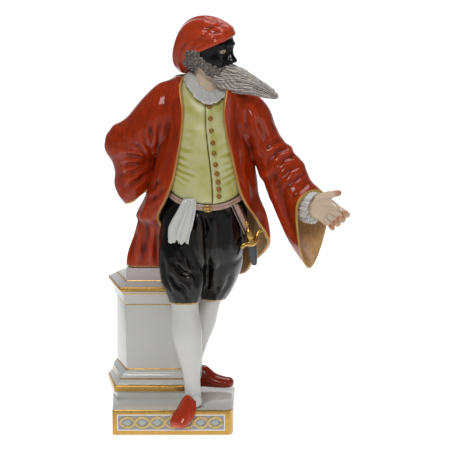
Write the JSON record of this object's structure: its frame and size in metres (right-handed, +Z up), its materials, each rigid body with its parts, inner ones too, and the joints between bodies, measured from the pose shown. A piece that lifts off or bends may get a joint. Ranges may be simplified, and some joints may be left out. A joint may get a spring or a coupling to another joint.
{
  "type": "commedia dell arte figurine",
  "caption": "Glazed porcelain figure of a masked, bearded comedy player in an open coat, leaning on a low pedestal with one hand held out, on a low rectangular plinth.",
  "frame": {"origin": "middle of the plinth's underside", "axes": "+Z up, -Y out of the plinth's front with the guilloche, +X to the viewer's right"},
  "size_m": [0.0886, 0.043, 0.1486],
  "materials": {
    "white_glaze": "clear feldspar glaze over white hard-paste porcelain, with burnished gilt lines",
    "painted_glaze": "glossy enamel colours over the glaze: iron red, yellow green, black, flesh and gilding"
  },
  "bodies": {
    "root": {"plinth": "white_glaze", "pedestal": "white_glaze", "figure": "painted_glaze"}
  },
  "joints": []
}
